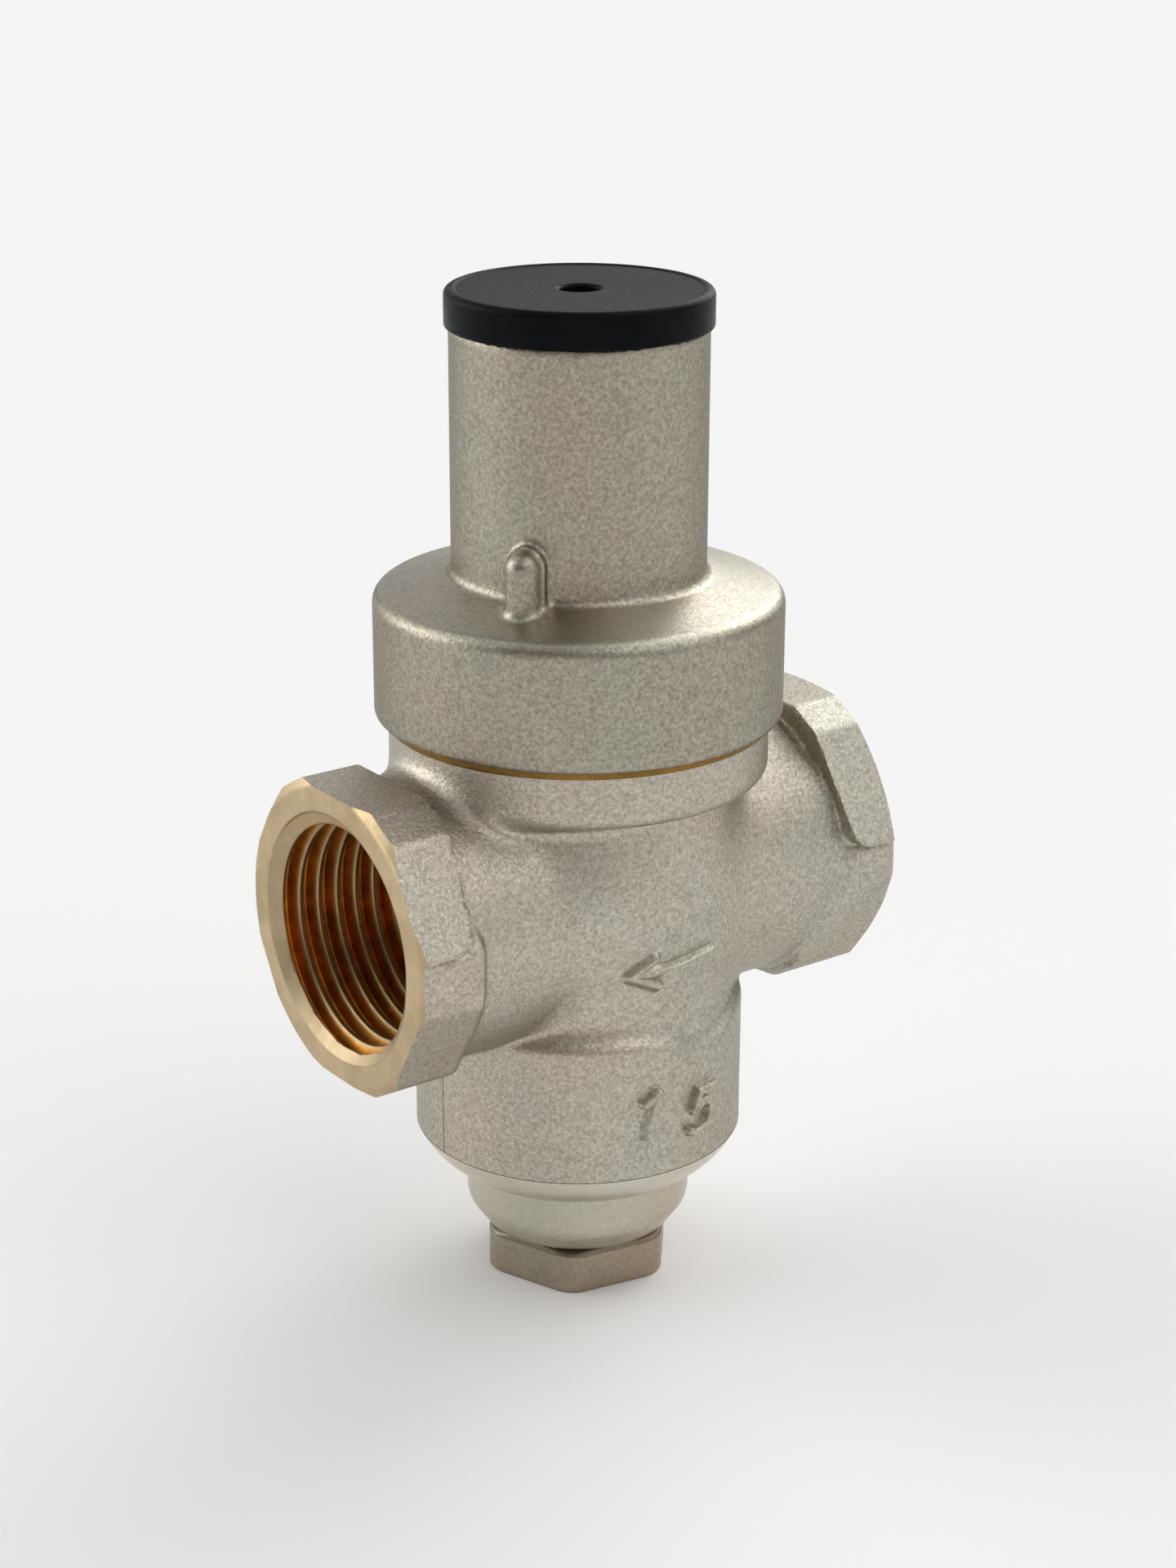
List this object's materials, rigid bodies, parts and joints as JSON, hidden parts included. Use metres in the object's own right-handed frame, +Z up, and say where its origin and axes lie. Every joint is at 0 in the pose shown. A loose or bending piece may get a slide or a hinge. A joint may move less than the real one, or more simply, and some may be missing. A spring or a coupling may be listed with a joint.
{
  "type": "pressure reducing valve",
  "caption": "Inline water pressure reducing valve: plated body with opposed female threaded ports, spring housing with push-in cap, hexagon bottom plug, and a sprung piston inside.",
  "frame": {"origin": "centre of the bottom plug's lower face, on the axis of the stem", "axes": "+Z up the stem to the cap, +X out of the inlet port, the raised marks on the -Y side"},
  "size_m": [0.0486, 0.034, 0.086],
  "materials": {
    "plated_brass": "satin nickel plate on forged and blasted brass",
    "plug_brass": "satin nickel plate on turned brass",
    "bare_brass": "machined",
    "stainless_steel": "turned",
    "spring_steel": "drawn wire",
    "seal_rubber": "matte",
    "bearing_plastic": "matte",
    "cap_plastic": "satin moulded"
  },
  "bodies": {
    "housing": {"valve_body": "plated_brass", "spring_housing": "plated_brass", "bottom_plug": "plug_brass", "plug_o_ring": "seal_rubber", "seat_ring": "stainless_steel", "seat_o_ring": "seal_rubber", "setting_spring": "spring_steel"},
    "cap": {"top_cap": "cap_plastic"},
    "thrust": {"thrust_washer": "stainless_steel"},
    "adjuster": {"adjusting_screw": "bare_brass"},
    "piston_group": {"piston": "bare_brass", "piston_o_ring": "seal_rubber", "piston_backup_ring": "bearing_plastic", "piston_guide_ring": "bearing_plastic", "valve_stem": "stainless_steel", "stem_nut": "stainless_steel", "disc_washer": "stainless_steel", "disc_seal": "seal_rubber", "disc_holder": "bare_brass", "balance_o_ring": "seal_rubber"}
  },
  "joints": [
    {"name": "cap_lift", "type": "slide", "parent": "housing", "child": "cap", "axis": [0, 0, 1], "range_m": [0, 0.02]},
    {"name": "screw_travel", "type": "slide", "parent": "housing", "child": "thrust", "axis": [0, 0, 1], "range_m": [-0.003, 0.003], "deforming": ["setting_spring"]},
    {"name": "screw_turn", "type": "hinge", "parent": "thrust", "child": "adjuster", "pos_m": [0, 0, 0.0747], "axis": [0, 0, 1], "range_deg": [-720, 720]},
    {"name": "piston_lift", "type": "slide", "parent": "housing", "child": "piston_group", "axis": [0, 0, 1], "range_m": [0, 0.0025], "stiffness_N_per_m": 15000, "deforming": ["setting_spring"]}
  ],
  "couplings": [
    {"joint": "screw_travel", "follows": "screw_turn", "m_per_rad": 0.00023873}
  ]
}
